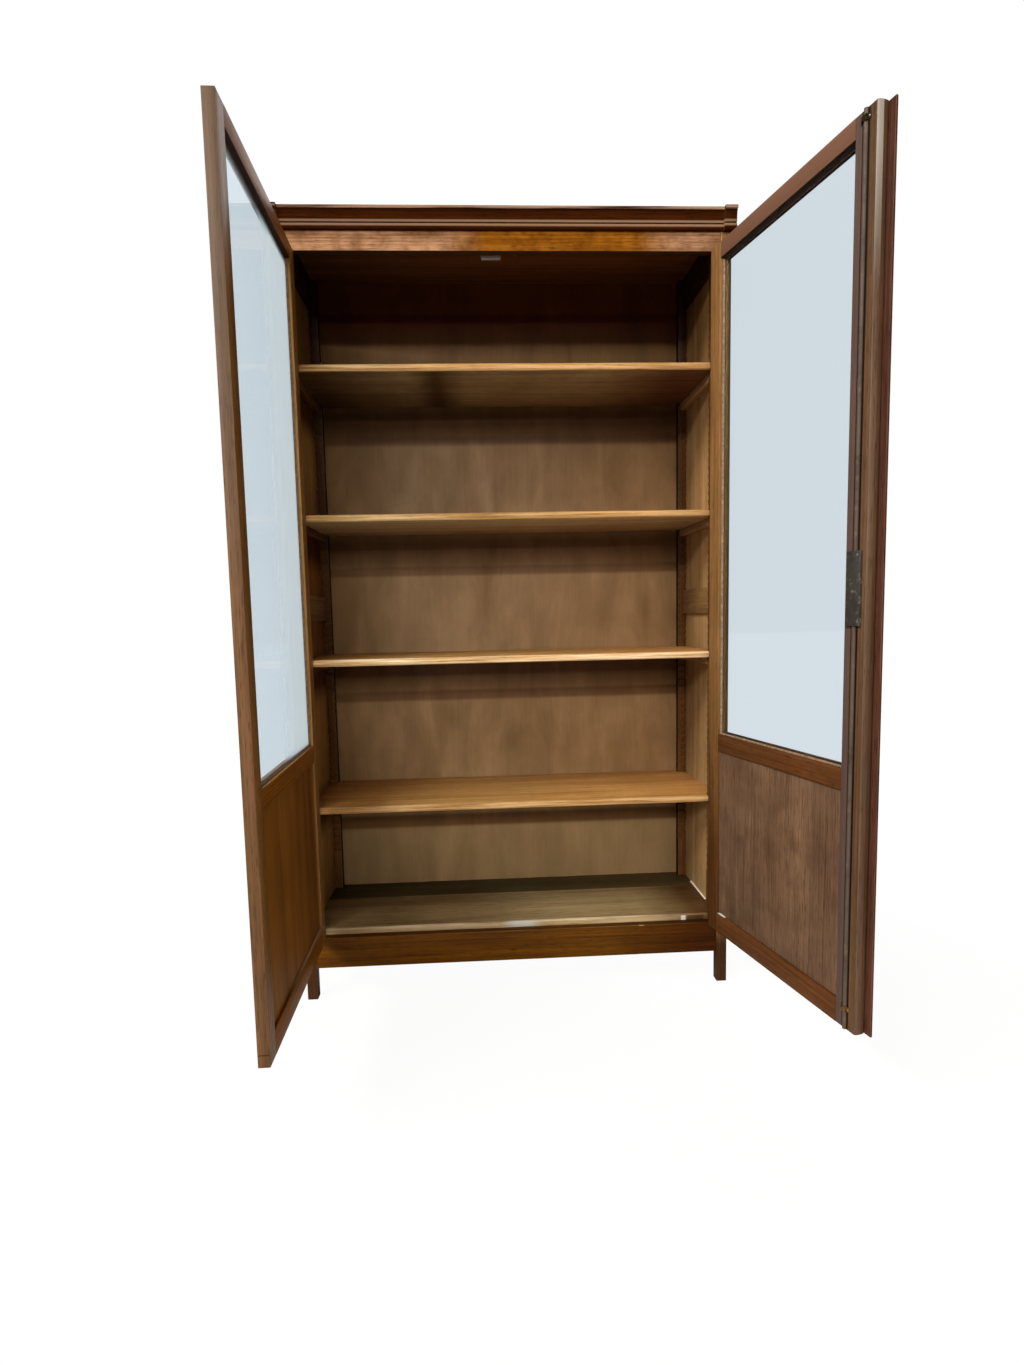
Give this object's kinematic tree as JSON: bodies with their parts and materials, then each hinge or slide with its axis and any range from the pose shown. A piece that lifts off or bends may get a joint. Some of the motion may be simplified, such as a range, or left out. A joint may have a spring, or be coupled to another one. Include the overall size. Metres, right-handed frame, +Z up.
{
  "type": "display cabinet",
  "caption": "Tall glazed oak display cabinet on open square legs, with framed doors on lift-off hinges, a moulded cornice, a cremone lock and loose shelves on toothed racks.",
  "frame": {"origin": "middle of the underside of the box round the whole cabinet, doors open as stored, on the floor", "axes": "+Z up, the front with its doors faces -Y, +X to the right of someone facing the cabinet"},
  "size_m": [1.3132, 0.9748, 2.1148],
  "materials": {
    "stained_oak": "brown stain under worn wax",
    "inner_oak": "thin worn varnish",
    "raw_oak": "bare, its finish worn away",
    "dark_board": "dark stain",
    "clear_glass": "drawn sheet",
    "aged_iron": "dark patina with worn spots",
    "worn_steel": "bare and dull",
    "aged_brass": "tarnished"
  },
  "bodies": {
    "carcass": {"front_post_left": "stained_oak", "front_post_right": "stained_oak", "rear_post_left": "stained_oak", "rear_post_right": "stained_oak", "base_rail": "stained_oak", "frieze_rail": "raw_oak", "rear_bottom_rail": "stained_oak", "side_bottom_rail_left": "stained_oak", "side_bottom_rail_right": "stained_oak", "side_mid_rail_left": "stained_oak", "side_mid_rail_right": "stained_oak", "side_panel_left": "inner_oak", "side_panel_right": "inner_oak", "back_panel": "inner_oak", "top_board": "stained_oak", "floor_board_front": "inner_oak", "floor_board_rear": "dark_board", "cornice": "stained_oak", "rack_front_left": "inner_oak", "rack_front_right": "inner_oak", "rack_rear_left": "inner_oak", "rack_rear_right": "inner_oak", "cleat_1_left": "inner_oak", "cleat_1_right": "inner_oak", "cleat_2_left": "inner_oak", "cleat_2_right": "inner_oak", "cleat_3_left": "inner_oak", "cleat_3_right": "inner_oak", "cleat_4_left": "inner_oak", "cleat_4_right": "inner_oak", "shelf_1": "inner_oak", "shelf_2": "inner_oak", "shelf_3": "inner_oak", "shelf_4": "inner_oak", "left_door_lower_hinge_post_half": "aged_brass", "left_door_upper_hinge_post_half": "aged_brass", "right_door_lower_hinge_post_half": "aged_brass", "right_door_upper_hinge_post_half": "aged_brass"},
    "left_door": {"left_door_hinge_stile": "stained_oak", "left_door_closing_stile": "stained_oak", "left_door_top_rail": "stained_oak", "left_door_mid_rail": "stained_oak", "left_door_bottom_rail": "stained_oak", "left_door_panel": "stained_oak", "left_door_glass": "clear_glass", "left_door_lower_hinge_door_half": "aged_brass", "left_door_upper_hinge_door_half": "aged_brass"},
    "right_door": {"right_door_hinge_stile": "stained_oak", "right_door_closing_stile": "stained_oak", "right_door_top_rail": "stained_oak", "right_door_mid_rail": "stained_oak", "right_door_bottom_rail": "stained_oak", "right_door_panel": "stained_oak", "right_door_glass": "clear_glass", "right_door_astragal": "stained_oak", "right_door_lock_case": "aged_iron", "right_door_lower_hinge_door_half": "aged_brass", "right_door_upper_hinge_door_half": "aged_brass"},
    "upper_bolt": {"right_door_upper_bolt": "worn_steel"},
    "lower_bolt": {"right_door_lower_bolt": "worn_steel"}
  },
  "joints": [
    {"name": "left_door_hinge", "type": "hinge", "parent": "carcass", "child": "left_door", "pos_m": [-0.61811, 0.08182, 1.0931], "axis": [0, 0, -1], "range_deg": [-89.15, 75.85]},
    {"name": "right_door_hinge", "type": "hinge", "parent": "carcass", "child": "right_door", "pos_m": [0.52189, 0.08182, 1.0931], "axis": [0, 0, 1], "range_deg": [-103.31, 61.69]},
    {"name": "upper_bolt_slide", "type": "slide", "parent": "right_door", "child": "upper_bolt", "axis": [0, 0, 1], "range_m": [0, 0.014]},
    {"name": "lower_bolt_slide", "type": "slide", "parent": "right_door", "child": "lower_bolt", "axis": [0, 0, -1], "range_m": [0, 0.014]}
  ],
  "couplings": [
    {"joint": "lower_bolt_slide", "follows": "upper_bolt_slide", "ratio": 1}
  ]
}
